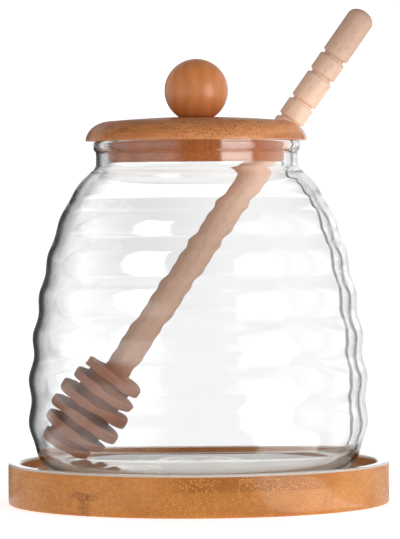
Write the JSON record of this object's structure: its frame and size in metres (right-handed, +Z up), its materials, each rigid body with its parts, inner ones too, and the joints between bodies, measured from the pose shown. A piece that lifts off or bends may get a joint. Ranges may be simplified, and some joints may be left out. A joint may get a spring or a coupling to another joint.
{
  "type": "honey pot with dipper",
  "caption": "Rippled clear glass honey jar on a round bamboo tray, with a bamboo lid, ball knob and turned wooden honey dipper standing in a slot of the lid.",
  "frame": {"origin": "centre of the tray's underside", "axes": "+Z up, along the axis of tray, jar, lid and knob; +X towards the side that the dipper's handle leans to; the front is seen along +Y"},
  "size_m": [0.12, 0.12, 0.155],
  "materials": {
    "tray_bamboo": "lacquered bamboo, golden brown",
    "jar_glass": "clear, polished",
    "lid_bamboo": "lacquered bamboo, brown",
    "knob_wood": "lacquered wood, orange brown, satin",
    "dipper_wood": "bare turned wood, pale pinkish brown"
  },
  "bodies": {
    "root": {"tray": "tray_bamboo", "jar": "jar_glass", "lid": "lid_bamboo", "knob": "knob_wood", "dipper": "dipper_wood"}
  },
  "joints": []
}
